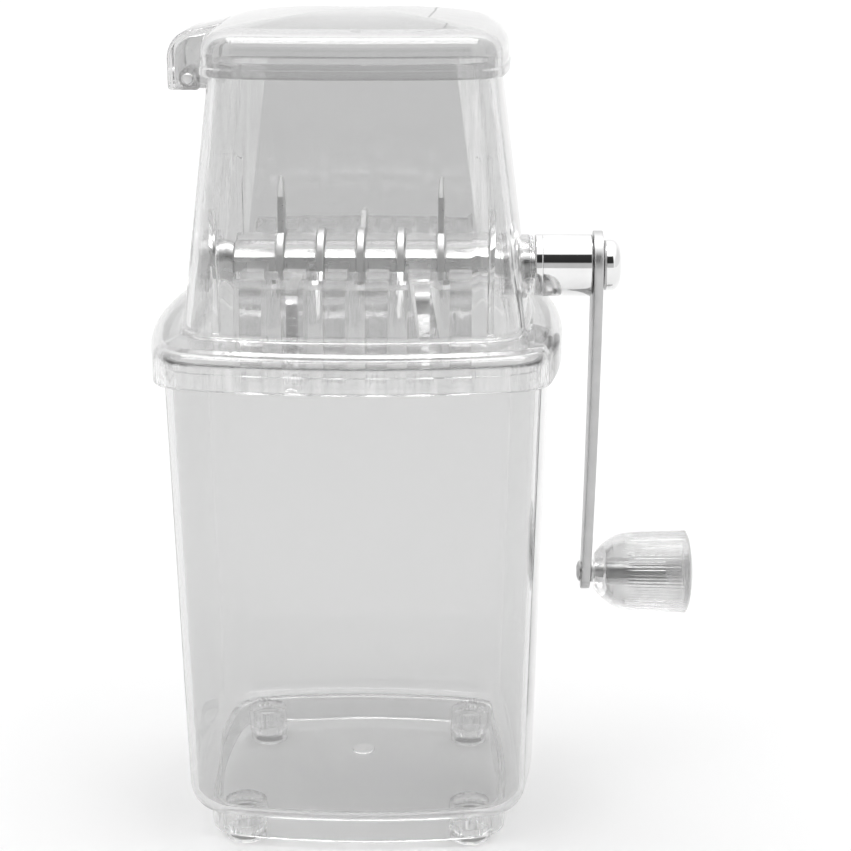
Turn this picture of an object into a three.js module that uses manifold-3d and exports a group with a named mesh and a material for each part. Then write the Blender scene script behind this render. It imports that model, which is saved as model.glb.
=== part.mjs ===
// Hand-cranked ice crusher in clear plastic.
// Millimetres, +Z up, -Y is the front, the crank is on the +X side.
// Four moulded shells carry everything: the ice container, the crusher housing that drops over
// its rim, the hinged lid and the crank knob. A hex shaft turns five steel blades between two combs.
import * as THREE from "three";
import { mergeVertices } from "three/addons/utils/BufferGeometryUtils.js";
import Module from "manifold-3d";

const wasm = await Module();
wasm.setup();

// Plan outline of every shell: four bowed sides joined by round corners.
const SIDE_RADIUS = 205;
const SIDE_STEPS = 4;
const CORNER_STEPS = 4;

// Shells. x and y are the outer half-widths at height z, measured at the middle of the bowed sides.
const CONTAINER_LOW = { z: 30, x: 55.0, y: 52.0 };
const CONTAINER_HIGH = { z: 140, x: 58.0, y: 54.8 };
const CONTAINER_CORNER = 14;
const CONTAINER_TOP = 155.2;
const CONTAINER_WALL = 2.2;
const CONTAINER_INNER_CORNER = 19;
const FLOOR_UNDERSIDE = 11;
const FLOOR_TOP = 13.4;
const FLOOR_EDGE = { out: 7, up: 8 };
const RIM_LIP = { out: 0.6, height: 2.6 };

const PLINTH_LOW = { z: 3.3, x: 47.9, y: 45.3 };
const PLINTH_HIGH = { z: 12, x: 48.5, y: 45.9 };
const PLINTH_CORNER = 12;
const PLINTH_WALL = 2;

const FOOT_X = 34.7;
const FOOT_Y = 34.1;
const FOOT_RADIUS = 6.25;
const FOOT_HEIGHT = 2.9;
const FOOT_ROUND = 0.8;
const FOOT_PLUG_RADIUS = 4.6;
const FOOT_PLUG_CHAMFER = 0.6;
const BOSS_RADIUS = 6.5;
const BOSS_BORE = 4.9;

// Upright ribs inside the tower's corners, which locate the combs.
const CORNER_RIB_X = [38.4, 40.2];
const CORNER_RIB_Y = 31;
const CORNER_RIB_FRONT_TOP = 196.5;
const CORNER_RIB_REAR_TOP = 199;

const SKIRT = { x: 61.7, y: 58.6 };
const SKIRT_BOTTOM = 148.3;
const SKIRT_CORNER = 12;
const SKIRT_WALL = 2.2;
const SHOULDER_EDGE = 4;
const SHOULDER_Z = 159;
const SHOULDER_RISE = 1.2;
const SHOULDER_WALL = 1.9;

const TOWER_LOW = { z: 160, x: 52.1, y: 43.1 };
const TOWER_HIGH = { z: 234, x: 42.7, y: 40.4 };
const TOWER_CORNER = 13;
const TOWER_TOP = 238;
const TOWER_WALL = 2.4;
const TOWER_INNER_CORNER = 15.5;
const TOWER_FILLET = 2;
// Pieces that end on a wall are drawn out to this Y and cut back to the wall.
const PAST_WALL_Y = 45;

const LID = { x: 45.2, y: 42.8 };
const LID_BOTTOM = 233.9;
const LID_LIP_TOP = 236.2;
const LID_LIP_STEP = 0.5;
const LID_TOP = 250.4;
const LID_CORNER = 12;
const LID_WALL = 2;
const LID_EDGE = { low: 240.7, high: 247.2, in: 8.5 };
const DOME_STEPS = 5;
const DOME_SWEEP = 1.53;

// Lid hinge: a hood on the lid closes round a lug on the housing, with a pin through both.
const HINGE_X = -48.5;
const HINGE_Z = 231;
const HINGE_PIN_RADIUS = 1.5;
const HINGE_HOLE_RADIUS = 1.8;
const LUG_RADIUS = 3;
const LUG_HALF_LENGTH = 10.4;
const LUG_END_X = -42;
const HOOD_HALF_LENGTH = 13;
const HOOD_WALL = 2;
const HOOD_OUTER_X = -54.5;
const HOOD_BOTTOM = 227.7;
const HOOD_TOP = 245.2;
const HOOD_ROOT_TOP = 247.1;
const HOOD_ROUND = 8.5;
const HOOD_ROOT_X = -38;
const HOOD_RIM = 234.9;

// Crusher: everything below turns about the shaft axis.
const SHAFT_Z = 174;
const HEX_CORNER = 4;
const HEX_HOLE_CORNER = 4.35;
const SHAFT_RADIUS = 4;
const JOURNAL_RADIUS = 6;
const JOURNAL_X = [-47.6, -37.2];
const SHAFT_END_X = 77;
const STUD_RADIUS = 3;
const BLADE_PITCH = 12;
const BLADE_COUNT = 5;
const BLADE_MIDDLE = 0.8;
const BLADE_THICKNESS = 2.2;
const BLADE_RING = 10.4;
// The prong's outline above the ring, as [y, z] up its rear edge and down its front edge.
const PRONG = [
  [4.9, 12.5], [4.2, 16], [3.1, 20], [1.5, 25.5],
  [1, 25.5], [-2.7, 20], [-3.2, 16], [-3.6, 12.5],
];
const PRONG_ROOT_Y = [-4.6, 5.6];
const BLADE_TURNS = [90, -30, 150, -30, 90];
const SPACER_RADIUS = 8.8;
const SPACER_BORE = 4.4;
const SPACER_ENDS = [-36.9, 45];
const GAP = 0.3;

// Bearings in the two side walls.
const BEARING_BOSS_RADIUS = 9.2;
const BEARING_SEAT_RADIUS = 7.6;
const BUSH_RADIUS = 7.25;
const LEFT_BOSS_X = [-49.2, -43.5];
const LEFT_SEAT_X = -48.3;
const RIGHT_BOSS_X = [45.8, 51.6];
const RIGHT_FLANGE_X = [51.9, 52.7];
const RIGHT_FLANGE_RADIUS = 8.8;

// Combs on the front and rear walls, with a tooth on each side of every blade.
const COMB_HALF_X = 34;
const COMB_TOOTH_HALF = 3.2;
const COMB_TIP_Y = 13.6;
const COMB_FOOT_Y = 30;
const COMB_PLATE_Y = 27.5;
const COMB_WALL = 1.5;
const COMB_CLEARANCE = 0.4;
const COMB_TIP_HEIGHT = 7;
const COMB_PLATE = 3;
const COMB_PANEL = 2;
const COMB_BOTTOM = 146.5;
const COMB_FRONT_TOP = 177.3;
const COMB_REAR_TOP = 180;

// Crank and knob.
const SLEEVE_RADIUS = 9.4;
const SLEEVE_X = [53, 70.4];
const ARM_X = [70.7, 73.5];
const ARM_LENGTH = 98.5;
const ARM_SET = -1.4;
const ARM_TOP_RADIUS = 10.4;
const ARM_END_RADIUS = 5.6;
const NUT_RADIUS = 7.75;
const NUT_ROUND = 3.2;
const NUT_X = [73.8, 79.2];
const AXLE_RADIUS = 2.4;
const AXLE_HOLE = 2.7;
const AXLE_HEAD_X = [67.9, 69.0];
const AXLE_HEAD_RADIUS = 3.4;
const AXLE_END_X = 96;
const COLLAR_X = [72.4, 73.1];
const COLLAR_RADIUS = 3.6;
const KNOB_X = [73.4, 104.3];
const KNOB_RADIUS = 13;
const KNOB_CORE_RADIUS = 4.4;
const KNOB_RIM_DEPTH = 1.2;
const KNOB_RIM_CHAMFER = 1;
const KNOB_MOUTH = 10.9;
const KNOB_CAP_DEPTH = 3.1;
const KNOB_DOME_SHARES = [1, 0.7, 0.35, 0];
// The knob's outside and the hollow round its core, as [distance from its neck, radius].
const KNOB_BELL = [[0, 5.5], [1.8, 7.8], [3.9, 9.6], [6.7, 11.3], [10, 12.1], [14.5, 12.4]];
const KNOB_HOLLOW = [[14, 10.5], [9.6, 9.9], [6.3, 8.4], [4.2, 6.4], [3.6, KNOB_CORE_RADIUS]];

const CLEAR = { color: 0xd9dcde, roughness: 0.08, metalness: 0, transparent: true, opacity: 0.35 };
const STEEL = { color: 0xb9bcbf, roughness: 0.3, metalness: 1 };
const CHROME = { color: 0xe6e8ea, roughness: 0.06, metalness: 1 };
const SATIN = { color: 0xa9acaf, roughness: 0.38, metalness: 1 };

// Solids.

function solid(geometry) {
  const bare = new THREE.BufferGeometry();
  bare.setAttribute("position", geometry.getAttribute("position"));
  bare.setIndex(geometry.getIndex());
  const merged = mergeVertices(bare, 1e-4);
  const corners = merged.getIndex().array;
  const kept = [];
  for (let i = 0; i < corners.length; i += 3) {
    const [a, b, c] = corners.slice(i, i + 3);
    if (a !== b && b !== c && c !== a) kept.push(a, b, c);
  }
  const mesh = new wasm.Mesh({
    numProp: 3,
    vertProperties: merged.getAttribute("position").array,
    triVerts: new Uint32Array(kept),
  });
  return new wasm.Manifold(mesh);
}

const join = (first, ...others) => others.reduce((sum, other) => sum.add(other), first);
const cut = (first, ...others) => others.reduce((rest, other) => rest.subtract(other), first);

function piece(name, shape, finish) {
  const { numProp, vertProperties, triVerts } = shape.getMesh();
  const geometry = new THREE.BufferGeometry();
  const positions = new THREE.BufferAttribute(new Float32Array(vertProperties), numProp);
  geometry.setAttribute("position", positions);
  geometry.setIndex(new THREE.BufferAttribute(new Uint32Array(triVerts), 1));
  geometry.computeVertexNormals();
  const mesh = new THREE.Mesh(geometry, new THREE.MeshStandardMaterial(finish));
  mesh.name = name;
  return mesh;
}

function block([x0, x1], [y0, y1], [z0, z1]) {
  const box = new THREE.BoxGeometry(x1 - x0, y1 - y0, z1 - z0);
  return solid(box.translate((x0 + x1) / 2, (y0 + y1) / 2, (z0 + z1) / 2));
}

// A solid of revolution about the X axis. Each profile point is [x, radius].
function turned(profile, segments = 24) {
  const points = profile.map(([x, radius]) => new THREE.Vector2(radius, x));
  return solid(new THREE.LatheGeometry(points, segments).rotateZ(-Math.PI / 2));
}

function rod(radius, [x0, x1], segments = 24) {
  return turned([[x0, 0], [x0, radius], [x1, radius], [x1, 0]], segments);
}

function tube(outer, inner, [x0, x1], segments = 24) {
  return turned([[x0, inner], [x0, outer], [x1, outer], [x1, inner], [x0, inner]], segments);
}

// The same, standing on the Z axis. Each profile point is [radius, z].
function standing(profile, segments = 20) {
  const points = profile.map(([radius, z]) => new THREE.Vector2(radius, z));
  return solid(new THREE.LatheGeometry(points, segments).rotateX(Math.PI / 2));
}

// Extrudes a shape drawn in the YZ plane (shape x is Y, shape y is Z) from x0 to x1.
function slabX(shape, [x0, x1], curveSegments = 8) {
  const settings = { depth: x1 - x0, bevelEnabled: false, curveSegments };
  const slab = new THREE.ExtrudeGeometry(shape, settings);
  const axes = new THREE.Matrix4().set(0, 0, 1, x0, 1, 0, 0, 0, 0, 1, 0, 0, 0, 0, 0, 1);
  return solid(slab.applyMatrix4(axes));
}

// Extrudes a shape drawn in the XZ plane symmetrically about Y = 0.
function slabY(shape, halfLength, curveSegments = 8) {
  const settings = { depth: 2 * halfLength, bevelEnabled: false, curveSegments };
  const slab = new THREE.ExtrudeGeometry(shape, settings);
  return solid(slab.rotateX(Math.PI / 2).translate(0, halfLength, 0));
}

// Lofted shells.

function outline({ x, y, z, corner }) {
  const side = SIDE_RADIUS;
  const between = Math.hypot(side - x, side - y);
  const reach = Math.sqrt((side - corner) ** 2 - (between / 2) ** 2) / between;
  const centre = new THREE.Vector2(
    (x - side) / 2 + (side - y) * reach,
    (y - side) / 2 + (side - x) * reach,
  );
  const from = Math.atan2(centre.y, centre.x + side - x);
  const to = Math.atan2(centre.y + side - y, centre.x);
  const points = [];
  function arc(cx, cy, radius, start, end, steps) {
    for (let k = 0; k < steps; k += 1) {
      const angle = start + ((end - start) * k) / steps;
      const px = cx + radius * Math.cos(angle);
      const py = cy + radius * Math.sin(angle);
      points.push(new THREE.Vector3(px, py, z));
    }
  }
  const half = Math.PI;
  arc(x - side, 0, side, -from, from, SIDE_STEPS);
  arc(centre.x, centre.y, corner, from, to, CORNER_STEPS);
  arc(0, y - side, side, to, half - to, SIDE_STEPS);
  arc(-centre.x, centre.y, corner, half - to, half - from, CORNER_STEPS);
  arc(side - x, 0, side, half - from, half + from, SIDE_STEPS);
  arc(-centre.x, -centre.y, corner, half + from, half + to, CORNER_STEPS);
  arc(0, side - y, side, half + to, 2 * half - to, SIDE_STEPS);
  arc(centre.x, -centre.y, corner, 2 * half - to, 2 * half - from, CORNER_STEPS);
  return points;
}

// A closed solid through the sections, which are listed from the lowest to the highest.
function loft(sections) {
  const rings = sections.map(outline);
  const count = rings[0].length;
  const points = rings.flat();
  const index = [];
  for (let level = 0; level + 1 < rings.length; level += 1) {
    for (let k = 0; k < count; k += 1) {
      const a = level * count + k;
      const b = level * count + ((k + 1) % count);
      index.push(a, b, b + count, a, b + count, a + count);
    }
  }
  const top = (rings.length - 1) * count;
  points.push(new THREE.Vector3(0, 0, sections[0].z));
  points.push(new THREE.Vector3(0, 0, sections.at(-1).z));
  for (let k = 0; k < count; k += 1) {
    const next = (k + 1) % count;
    index.push(points.length - 2, next, k);
    index.push(points.length - 1, top + k, top + next);
  }
  const geometry = new THREE.BufferGeometry().setFromPoints(points);
  geometry.setIndex(index);
  return solid(geometry);
}

function section(size, z, corner, inset = 0) {
  return { z, x: size.x - inset, y: size.y - inset, corner: corner - inset };
}

function tapered(low, high, z) {
  const share = (z - low.z) / (high.z - low.z);
  return {
    x: THREE.MathUtils.lerp(low.x, high.x, share),
    y: THREE.MathUtils.lerp(low.y, high.y, share),
  };
}

// A quarter round: calls make(out, up) with out and up running from 0 to 1.
function quarter(steps, make) {
  return Array.from({ length: steps + 1 }, (_, k) => {
    const angle = (k / steps) * (Math.PI / 2);
    return make(1 - Math.sin(angle), 1 - Math.cos(angle));
  });
}

const containerAt = (z) => tapered(CONTAINER_LOW, CONTAINER_HIGH, z);
const towerAt = (z) => tapered(TOWER_LOW, TOWER_HIGH, z);

// Container and feet.

function containerSection(z, inset) {
  return section(containerAt(z), z, CONTAINER_CORNER, inset);
}

function containerInside(z, inset) {
  const corner = CONTAINER_INNER_CORNER + CONTAINER_WALL - inset;
  return { ...containerSection(z, inset), corner };
}

function containerBody() {
  const lipZ = CONTAINER_TOP - RIM_LIP.height;
  const outside = loft([
    ...quarter(4, (out, up) =>
      containerSection(FLOOR_UNDERSIDE + FLOOR_EDGE.up * up, FLOOR_EDGE.out * out)),
    containerSection(lipZ, 0),
    containerSection(lipZ + RIM_LIP.out, -RIM_LIP.out),
    containerSection(CONTAINER_TOP, -RIM_LIP.out),
  ]);
  const floor = FLOOR_TOP - FLOOR_UNDERSIDE;
  const inside = loft([
    ...quarter(4, (out, up) =>
      containerInside(
        FLOOR_TOP + (FLOOR_EDGE.up - floor) * up,
        CONTAINER_WALL + (FLOOR_EDGE.out - CONTAINER_WALL) * out,
      )),
    containerInside(CONTAINER_TOP + 1, CONTAINER_WALL),
  ]);
  return cut(outside, inside);
}

function plinth() {
  const wall = (inset, bottom, top) =>
    loft([bottom, top].map((z) =>
      section(tapered(PLINTH_LOW, PLINTH_HIGH, z), z, PLINTH_CORNER, inset)));
  const outside = wall(0, PLINTH_LOW.z, PLINTH_HIGH.z);
  return cut(outside, wall(PLINTH_WALL, PLINTH_LOW.z - 1, FLOOR_UNDERSIDE));
}

const footPlaces = [
  ["foot_front_left", -FOOT_X, -FOOT_Y],
  ["foot_front_right", FOOT_X, -FOOT_Y],
  ["foot_rear_left", -FOOT_X, FOOT_Y],
  ["foot_rear_right", FOOT_X, FOOT_Y],
];

function footBoss(x, y) {
  const low = PLINTH_LOW.z;
  const high = PLINTH_HIGH.z;
  return standing([[0, low], [BOSS_RADIUS, low], [BOSS_RADIUS, high], [0, high]]).translate([x, y, 0]);
}

function footBore(x, y) {
  const low = PLINTH_LOW.z - 1;
  const high = FLOOR_UNDERSIDE - GAP;
  return standing([[0, low], [BOSS_BORE, low], [BOSS_BORE, high], [0, high]]).translate([x, y, 0]);
}

function iceContainer() {
  const bosses = footPlaces.map(([, x, y]) => footBoss(x, y));
  const bores = footPlaces.map(([, x, y]) => footBore(x, y));
  return cut(join(containerBody(), plinth(), ...bosses), ...bores);
}

function foot() {
  const plugTop = FLOOR_UNDERSIDE - 3 * GAP;
  return standing([
    [0, 0],
    [FOOT_RADIUS - FOOT_ROUND, 0],
    [FOOT_RADIUS, FOOT_ROUND],
    [FOOT_RADIUS, FOOT_HEIGHT],
    [FOOT_PLUG_RADIUS, FOOT_HEIGHT],
    [FOOT_PLUG_RADIUS, plugTop - FOOT_PLUG_CHAMFER],
    [FOOT_PLUG_RADIUS - FOOT_PLUG_CHAMFER, plugTop],
    [0, plugTop],
  ]);
}

// Crusher housing.

const towerSection = (z, inset) => section(towerAt(z), z, TOWER_CORNER, inset);
const towerInside = (z) => ({ ...towerSection(z, TOWER_WALL), corner: TOWER_INNER_CORNER });

function housingShell() {
  const edge = SHOULDER_EDGE;
  const rise = SHOULDER_Z + SHOULDER_RISE;
  const outside = loft([
    section(SKIRT, SKIRT_BOTTOM, SKIRT_CORNER),
    ...quarter(3, (out, up) =>
      section(SKIRT, SHOULDER_Z - edge * out, SKIRT_CORNER, edge * up)),
    ...quarter(2, (out, up) => towerSection(rise + TOWER_FILLET * up, -TOWER_FILLET * out)),
    towerSection(TOWER_TOP, 0),
  ]);
  const inner = edge - SHOULDER_WALL;
  const ceiling = SHOULDER_Z - SHOULDER_WALL;
  const inside = loft([
    section(SKIRT, SKIRT_BOTTOM - 1, SKIRT_CORNER, SKIRT_WALL),
    ...quarter(3, (out, up) =>
      section(SKIRT, ceiling - inner * out, SKIRT_CORNER, SKIRT_WALL + inner * up)),
    towerInside(ceiling + SHOULDER_RISE),
    towerInside(TOWER_TOP + 1),
  ]);
  return cut(outside, inside);
}

const atShaft = (shape) => shape.translate([0, 0, SHAFT_Z]);

function hingeLug() {
  const shape = new THREE.Shape();
  shape.moveTo(LUG_END_X, HINGE_Z - LUG_RADIUS);
  shape.lineTo(LUG_END_X, HINGE_Z + LUG_RADIUS);
  shape.lineTo(HINGE_X, HINGE_Z + LUG_RADIUS);
  shape.absarc(HINGE_X, HINGE_Z, LUG_RADIUS, Math.PI / 2, 1.5 * Math.PI, false);
  return slabY(shape, LUG_HALF_LENGTH);
}

function hingeRod(radius, halfLength) {
  const shape = new THREE.Shape().absarc(HINGE_X, HINGE_Z, radius, 0, 2 * Math.PI, false);
  return slabY(shape, halfLength, 10);
}

function cornerRibs() {
  const [near, far] = CORNER_RIB_X;
  const low = TOWER_LOW.z;
  const inWall = (top) => loft([low, top].map((z) => towerSection(z, TOWER_WALL / 2)));
  return [[-1, CORNER_RIB_FRONT_TOP], [1, CORNER_RIB_REAR_TOP]].flatMap(([side, top]) => {
    const depth = side < 0 ? [-PAST_WALL_Y, -CORNER_RIB_Y] : [CORNER_RIB_Y, PAST_WALL_Y];
    return [[-far, -near], [near, far]].map((width) =>
      block(width, depth, [low, top]).intersect(inWall(top)));
  });
}

function crusherHousing() {
  const walls = join(
    housingShell(),
    ...cornerRibs(),
    atShaft(rod(BEARING_BOSS_RADIUS, LEFT_BOSS_X)),
    atShaft(rod(BEARING_BOSS_RADIUS, RIGHT_BOSS_X)),
    hingeLug(),
  );
  return cut(
    walls,
    atShaft(rod(BEARING_SEAT_RADIUS, [LEFT_SEAT_X, LEFT_BOSS_X[1] + 1])),
    atShaft(rod(BEARING_SEAT_RADIUS, [RIGHT_BOSS_X[0] - 1, RIGHT_BOSS_X[1] + 1])),
    hingeRod(HINGE_HOLE_RADIUS, LUG_HALF_LENGTH + 1),
  );
}

// Combs. side is -1 for the front wall and 1 for the rear wall.

function slabFromProfile(side, profile, half) {
  const points = profile.map(([y, z]) => new THREE.Vector2(side * y, z));
  if (side > 0) points.reverse();
  return slabX(new THREE.Shape(points), [-half, half]);
}

// One tooth and the hollow inside it. Both profiles run from the wall round the tip to the foot.
function combTooth(side, top) {
  const knee = top - COMB_TIP_HEIGHT;
  const lean = (COMB_FOOT_Y - COMB_TIP_Y) / (knee - COMB_BOTTOM);
  const front = COMB_WALL * Math.hypot(1, lean);
  const outside = slabFromProfile(side, [
    [PAST_WALL_Y, top],
    [COMB_TIP_Y, top],
    [COMB_TIP_Y, knee],
    [COMB_FOOT_Y, COMB_BOTTOM],
    [PAST_WALL_Y, COMB_BOTTOM],
  ], COMB_TOOTH_HALF);
  const hollow = slabFromProfile(side, [
    [PAST_WALL_Y, top - COMB_PLATE],
    [COMB_TIP_Y + front, top - COMB_PLATE],
    [COMB_TIP_Y + front, knee],
    [COMB_FOOT_Y + front, COMB_BOTTOM],
    [COMB_FOOT_Y + front, COMB_BOTTOM - 1],
    [PAST_WALL_Y, COMB_BOTTOM - 1],
  ], COMB_TOOTH_HALF - COMB_WALL);
  return { outside, hollow };
}

// A panel against the wall, a plate along its top, and hollow teeth that are open underneath.
function comb(side, top) {
  const near = side < 0 ? [-PAST_WALL_Y, -COMB_PLATE_Y] : [COMB_PLATE_Y, PAST_WALL_Y];
  const inset = TOWER_WALL + COMB_CLEARANCE;
  const within = (gap) =>
    loft([COMB_BOTTOM - gap, top + gap].map((z) => towerSection(z, inset + gap)));
  const across = [-COMB_HALF_X, COMB_HALF_X];
  const panel = cut(block(across, near, [COMB_BOTTOM, top]), within(COMB_PANEL));
  const plate = block(across, near, [top - COMB_PLATE, top]);
  const places = Array.from({ length: BLADE_COUNT + 1 }, (_, number) =>
    bladeX(number) - BLADE_PITCH / 2);
  const { outside, hollow } = combTooth(side, top);
  const teeth = places.map((x) => outside.translate([x, 0, 0]));
  const hollows = places.map((x) => hollow.translate([x, 0, 0]).intersect(within(COMB_PANEL)));
  return cut(join(panel, plate, ...teeth).intersect(within(0)), ...hollows);
}

// Lid.

function lidSection(z, inset) {
  return section(LID, z, LID_CORNER, inset);
}

function lidShellSolid(inset, bottom, drop) {
  const { low, high } = LID_EDGE;
  const crown = section(LID, high - drop, LID_CORNER, LID_EDGE.in);
  const dome = Array.from({ length: DOME_STEPS }, (_, step) => {
    const k = Math.cos(((step + 1) / DOME_STEPS) * DOME_SWEEP);
    const z = crown.z + (LID_TOP - high) * (1 - k * k);
    return { z, x: crown.x * k, y: crown.y * k, corner: crown.corner * k };
  });
  return loft([
    lidSection(bottom, inset),
    ...quarter(4, (out, up) =>
      lidSection(high - drop - (high - low) * out, inset + (LID_EDGE.in - inset) * up)),
    ...dome,
  ]);
}

function lidLip() {
  return loft([
    lidSection(LID_BOTTOM, 0),
    lidSection(LID_LIP_TOP, 0),
    lidSection(LID_LIP_TOP + LID_LIP_STEP, LID_LIP_STEP),
  ]);
}

// The hood's side view, drawn inset by wall. Below the lid's rim it stops at earX.
function hoodSolid(wall, halfLength, bottom, earX) {
  const round = HOOD_ROUND - wall;
  const left = HOOD_OUTER_X + wall;
  const top = HOOD_TOP - wall;
  const shape = new THREE.Shape();
  shape.moveTo(earX, bottom);
  shape.lineTo(earX, HOOD_RIM);
  shape.lineTo(HOOD_ROOT_X, HOOD_RIM);
  shape.lineTo(HOOD_ROOT_X, HOOD_ROOT_TOP - wall);
  shape.lineTo(left + round, top);
  shape.absarc(left + round, top - round, round, Math.PI / 2, Math.PI, false);
  shape.lineTo(left, bottom);
  return slabY(shape, halfLength, 6);
}

function lid() {
  const outside = join(
    lidShellSolid(LID_LIP_STEP, LID_BOTTOM, 0),
    lidLip(),
    hoodSolid(0, HOOD_HALF_LENGTH, HOOD_BOTTOM, -LID.x),
  );
  const inside = lidShellSolid(LID_WALL, HOOD_BOTTOM - 1, LID_WALL);
  const cavity = hoodSolid(HOOD_WALL, HOOD_HALF_LENGTH - HOOD_WALL, HOOD_BOTTOM - 1, HOOD_ROOT_X);
  return cut(outside, inside, cavity, hingeRod(HINGE_HOLE_RADIUS, HOOD_HALF_LENGTH + 1));
}

// Crusher shaft and what is threaded on it, about the X axis.

function hexRod(corner, [x0, x1]) {
  return rod(corner, [x0, x1], 6);
}

function driveShaft() {
  const [journalLeft, journalRight] = JOURNAL_X;
  const hexEnd = SPACER_ENDS[1] + 1;
  const nose = turned([
    [hexEnd - 1, 0],
    [hexEnd - 1, SHAFT_RADIUS],
    [NUT_X[0] - GAP, SHAFT_RADIUS],
    [NUT_X[0] - GAP, STUD_RADIUS],
    [SHAFT_END_X, STUD_RADIUS],
    [SHAFT_END_X, 0],
  ]);
  const journal = rod(JOURNAL_RADIUS, [journalLeft, journalRight]);
  return join(journal, hexRod(HEX_CORNER, [journalRight - 1, hexEnd]), nose);
}

function bladeOutline() {
  const [front, rear] = PRONG_ROOT_Y.map((y) => Math.acos(y / BLADE_RING));
  const shape = new THREE.Shape();
  shape.absarc(0, 0, BLADE_RING, front, 2 * Math.PI + rear, false);
  PRONG.forEach(([y, z]) => shape.lineTo(y, z));
  shape.closePath();
  return shape;
}

// A blade at x = 0. turn is the prong's angle in degrees: 0 points to the front, 90 up, 180 back.
function blade(turn) {
  const half = BLADE_THICKNESS / 2;
  const flat = slabX(bladeOutline(), [-half, half], 14);
  return cut(flat, hexRod(HEX_HOLE_CORNER, [-half - 1, half + 1])).rotate([90 - turn, 0, 0]);
}

function bladeX(number) {
  return BLADE_MIDDLE + (number - (BLADE_COUNT - 1) / 2) * BLADE_PITCH;
}

function spacerSpan(number) {
  const clear = BLADE_THICKNESS / 2 + GAP;
  const from = number === 0 ? SPACER_ENDS[0] : bladeX(number - 1) + clear;
  const to = number === BLADE_COUNT ? SPACER_ENDS[1] : bladeX(number) - clear;
  return [from, to];
}

// Bearings.

function leftBushing() {
  return tube(BUSH_RADIUS, JOURNAL_RADIUS + GAP, [LEFT_SEAT_X + GAP, LEFT_BOSS_X[1]]);
}

function rightBushing() {
  const [flangeLeft, flangeRight] = RIGHT_FLANGE_X;
  const bore = SHAFT_RADIUS + GAP;
  return turned([
    [RIGHT_BOSS_X[0], bore],
    [RIGHT_BOSS_X[0], BUSH_RADIUS],
    [flangeLeft, BUSH_RADIUS],
    [flangeLeft, RIGHT_FLANGE_RADIUS],
    [flangeRight, RIGHT_FLANGE_RADIUS],
    [flangeRight, bore],
    [RIGHT_BOSS_X[0], bore],
  ]);
}

// Crank.

function crankSleeve() {
  const [left, right] = SLEEVE_X;
  const round = 0.4;
  return turned([
    [left, SHAFT_RADIUS + GAP],
    [left, SLEEVE_RADIUS - round],
    [left + round, SLEEVE_RADIUS],
    [right - round, SLEEVE_RADIUS],
    [right, SLEEVE_RADIUS - round],
    [right, SHAFT_RADIUS + GAP],
    [left, SHAFT_RADIUS + GAP],
  ], 32);
}

// A flat bar with round ends, set inwards by ARM_SET at the knob end.
function crankArm() {
  const lean = Math.asin((ARM_TOP_RADIUS - ARM_END_RADIUS) / ARM_LENGTH);
  const shape = new THREE.Shape();
  shape.absarc(0, 0, ARM_TOP_RADIUS, -lean, Math.PI + lean, false);
  shape.absarc(0, -ARM_LENGTH, ARM_END_RADIUS, Math.PI + lean, 2 * Math.PI - lean, false);
  shape.closePath();
  const bar = cut(
    slabX(shape, ARM_X, 10),
    rod(SHAFT_RADIUS + GAP, [ARM_X[0] - 1, ARM_X[1] + 1]),
    rod(AXLE_HOLE, [ARM_X[0] - 1, ARM_X[1] + 1]).translate([0, 0, -ARM_LENGTH]),
  );
  return bar.warp((vertex) => {
    if (vertex[2] < -ARM_LENGTH / 2) vertex[0] += ARM_SET;
  });
}

function capNut() {
  const [left, right] = NUT_X;
  const boreEnd = SHAFT_END_X + GAP;
  const bore = STUD_RADIUS + GAP;
  return turned([
    [left, bore],
    [left, NUT_RADIUS],
    ...quarter(3, (out, up) => [right - NUT_ROUND * out, NUT_RADIUS - NUT_ROUND * up]),
    [right, 0],
    [boreEnd, 0],
    [boreEnd, bore],
    [left, bore],
  ]);
}

// Knob and its axle, about their own X axis.

function handleAxle() {
  const [left, right] = AXLE_HEAD_X;
  const head = quarter(3, (out, up) => [left + (right - left) * out, AXLE_HEAD_RADIUS * (1 - up)]);
  return turned([...head.reverse(), [right, AXLE_RADIUS], [AXLE_END_X, AXLE_RADIUS], [AXLE_END_X, 0]], 20);
}

function knob() {
  const [left, right] = KNOB_X;
  const bore = AXLE_RADIUS + GAP;
  const rim = right - KNOB_RIM_DEPTH;
  const coreEnd = right - KNOB_CAP_DEPTH - GAP;
  const fromNeck = ([distance, radius]) => [left + distance, radius];
  return turned([
    [left, bore],
    ...KNOB_BELL.map(fromNeck),
    [rim - KNOB_RIM_CHAMFER, KNOB_RADIUS],
    [rim, KNOB_RADIUS - KNOB_RIM_CHAMFER],
    [rim, KNOB_MOUTH],
    ...KNOB_HOLLOW.map(fromNeck),
    [coreEnd, KNOB_CORE_RADIUS],
    [coreEnd, bore],
    [left, bore],
  ], 28);
}

// The plug that closes the knob, with a low dome on its outside.
function knobCap() {
  const right = KNOB_X[1];
  const inner = right - KNOB_CAP_DEPTH;
  const radius = KNOB_MOUTH - GAP;
  const dome = KNOB_DOME_SHARES.map((share) => [right - KNOB_RIM_DEPTH * share ** 2, radius * share]);
  return turned([[inner, 0], [inner, radius], ...dome], 32);
}

// Assembly.

function containerGroup() {
  const group = new THREE.Group();
  group.add(piece("ice_container", iceContainer(), CLEAR));
  for (const [name, x, y] of footPlaces) {
    const mesh = piece(name, foot(), CLEAR);
    mesh.position.set(x, y, 0);
    group.add(mesh);
  }
  return group;
}

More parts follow.
